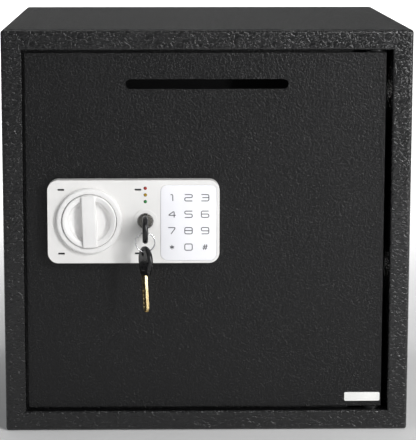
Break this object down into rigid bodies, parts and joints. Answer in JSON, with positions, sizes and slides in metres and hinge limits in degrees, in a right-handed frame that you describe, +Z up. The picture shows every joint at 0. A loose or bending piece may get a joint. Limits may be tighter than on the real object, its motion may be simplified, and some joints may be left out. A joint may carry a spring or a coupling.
{
  "type": "time delay safe",
  "caption": "Small steel cash safe with a hinged flush door, deposit slot, keypad lock panel with turning knob, sliding bolts and an override key lock.",
  "frame": {"origin": "centre of the flat base", "axes": "+Z up, the door faces -Y, +X is to the right when facing the door; +Y is the back, which goes against a wall"},
  "size_m": [0.35, 0.3379, 0.35],
  "materials": {
    "black_powder_coat": "textured",
    "door_powder_coat": "textured",
    "cover_coat": "satin",
    "felt_mat": "felt",
    "white_abs": "moulded",
    "overlay_film": "gloss",
    "zinc_steel": "zinc plated",
    "bright_steel": "turned",
    "screw_steel": "plated",
    "brass_bush": "turned",
    "bush_acetal": "turned",
    "cylinder_chrome": "satin",
    "key_plastic": "gloss",
    "key_nickel_brass": "milled",
    "red_lens": "clear",
    "amber_lens": "clear",
    "green_lens": "clear",
    "circuit_board": "solder mask",
    "ribbon_grey": "flat cable",
    "copper_coil": "wound",
    "black_abs": "moulded",
    "cell_wrap": "sleeve",
    "red_button_plastic": "gloss",
    "sticker_paper": "paper"
  },
  "bodies": {
    "cabinet": {"cabinet_wrap": "black_powder_coat", "back_panel": "black_powder_coat", "front_frame": "black_powder_coat", "door_stops": "door_powder_coat", "upper_hinge_bush": "bush_acetal", "lower_hinge_bush": "bush_acetal", "floor_mat": "felt_mat"},
    "door": {"door_plate": "door_powder_coat", "upper_hinge_block": "door_powder_coat", "lower_hinge_block": "door_powder_coat", "upper_hinge_pin": "bright_steel", "lower_hinge_pin": "bright_steel", "bolt_guide": "zinc_steel", "inner_cover": "cover_coat", "cover_screws": "screw_steel", "deposit_chute": "cover_coat", "chute_baffle": "zinc_steel", "lock_housing": "white_abs", "housing_screws": "screw_steel", "knob_bezel": "white_abs", "spindle_bush": "brass_bush", "keypad_overlay": "overlay_film", "keypad_board": "circuit_board", "keypad_ribbon": "ribbon_grey", "red_light": "red_lens", "amber_light": "amber_lens", "green_light": "green_lens", "lock_cylinder": "cylinder_chrome", "cylinder_nut": "zinc_steel", "guide_posts": "zinc_steel", "guide_screws": "screw_steel", "solenoid_frame": "zinc_steel", "solenoid_coil": "copper_coil", "plunger_spring": "bright_steel", "delay_board": "circuit_board", "board_standoffs": "zinc_steel", "battery_box": "black_abs", "battery_cells": "cell_wrap", "battery_contacts": "bright_steel", "blank_sticker": "sticker_paper"},
    "knob": {"knob": "white_abs", "knob_spindle": "zinc_steel", "drive_cam": "zinc_steel", "cam_screw": "zinc_steel"},
    "bolt_set": {"bolt_carrier": "zinc_steel", "upper_bolt": "bright_steel", "lower_bolt": "bright_steel", "bolt_nuts": "zinc_steel"},
    "lock_plug": {"cylinder_plug": "cylinder_chrome", "override_cam": "zinc_steel"},
    "plunger": {"solenoid_plunger": "zinc_steel"},
    "door_key": {"key_bow": "key_plastic", "key_blade": "key_nickel_brass"},
    "wire_ring": {"key_ring": "bright_steel"},
    "spare_key": {"spare_bow": "key_plastic", "spare_blade": "key_nickel_brass"},
    "lid": {"battery_lid": "black_abs"},
    "button": {"reset_button": "red_button_plastic"}
  },
  "joints": [
    {"name": "door_swing", "type": "hinge", "parent": "cabinet", "child": "door", "pos_m": [0.1445, -0.135, 0.175], "axis": [0, 0, 1], "range_deg": [0, 100]},
    {"name": "knob_turn", "type": "hinge", "parent": "door", "child": "knob", "pos_m": [-0.1008, -0.15, 0.187], "axis": [0, -1, 0], "range_deg": [0, 80]},
    {"name": "bolt_slide", "type": "slide", "parent": "door", "child": "bolt_set", "axis": [-1, 0, 0], "range_m": [0, 0.016]},
    {"name": "key_turn", "type": "hinge", "parent": "door", "child": "lock_plug", "pos_m": [-0.0529, -0.14, 0.1867], "axis": [0, -1, 0], "range_deg": [0, 90]},
    {"name": "plunger_slide", "type": "slide", "parent": "door", "child": "plunger", "axis": [0, 0, 1], "range_m": [0, 0.006], "deforming": ["plunger_spring"]},
    {"name": "key_pull", "type": "slide", "parent": "lock_plug", "child": "door_key", "axis": [0, -1, 0], "range_m": [0, 0.028]},
    {"name": "ring_swing", "type": "hinge", "parent": "door_key", "child": "wire_ring", "pos_m": [-0.0529, -0.1751, 0.18053], "axis": [-1, 0, 0], "range_deg": [-5, 60]},
    {"name": "spare_key_swing", "type": "hinge", "parent": "wire_ring", "child": "spare_key", "pos_m": [-0.0529, -0.1751, 0.16413], "axis": [-1, 0, 0], "range_deg": [-8, 50]},
    {"name": "battery_lid_slide", "type": "slide", "parent": "door", "child": "lid", "axis": [-1, 0, 0], "range_m": [0, 0.056]},
    {"name": "reset_press", "type": "slide", "parent": "door", "child": "button", "axis": [0, -1, 0], "range_m": [0, 0.0015], "stiffness_N_per_m": 300}
  ],
  "couplings": [
    {"joint": "knob_turn", "follows": "bolt_slide", "rad_per_m": 87.266},
    {"joint": "key_turn", "follows": "plunger_slide", "rad_per_m": 261.79}
  ]
}
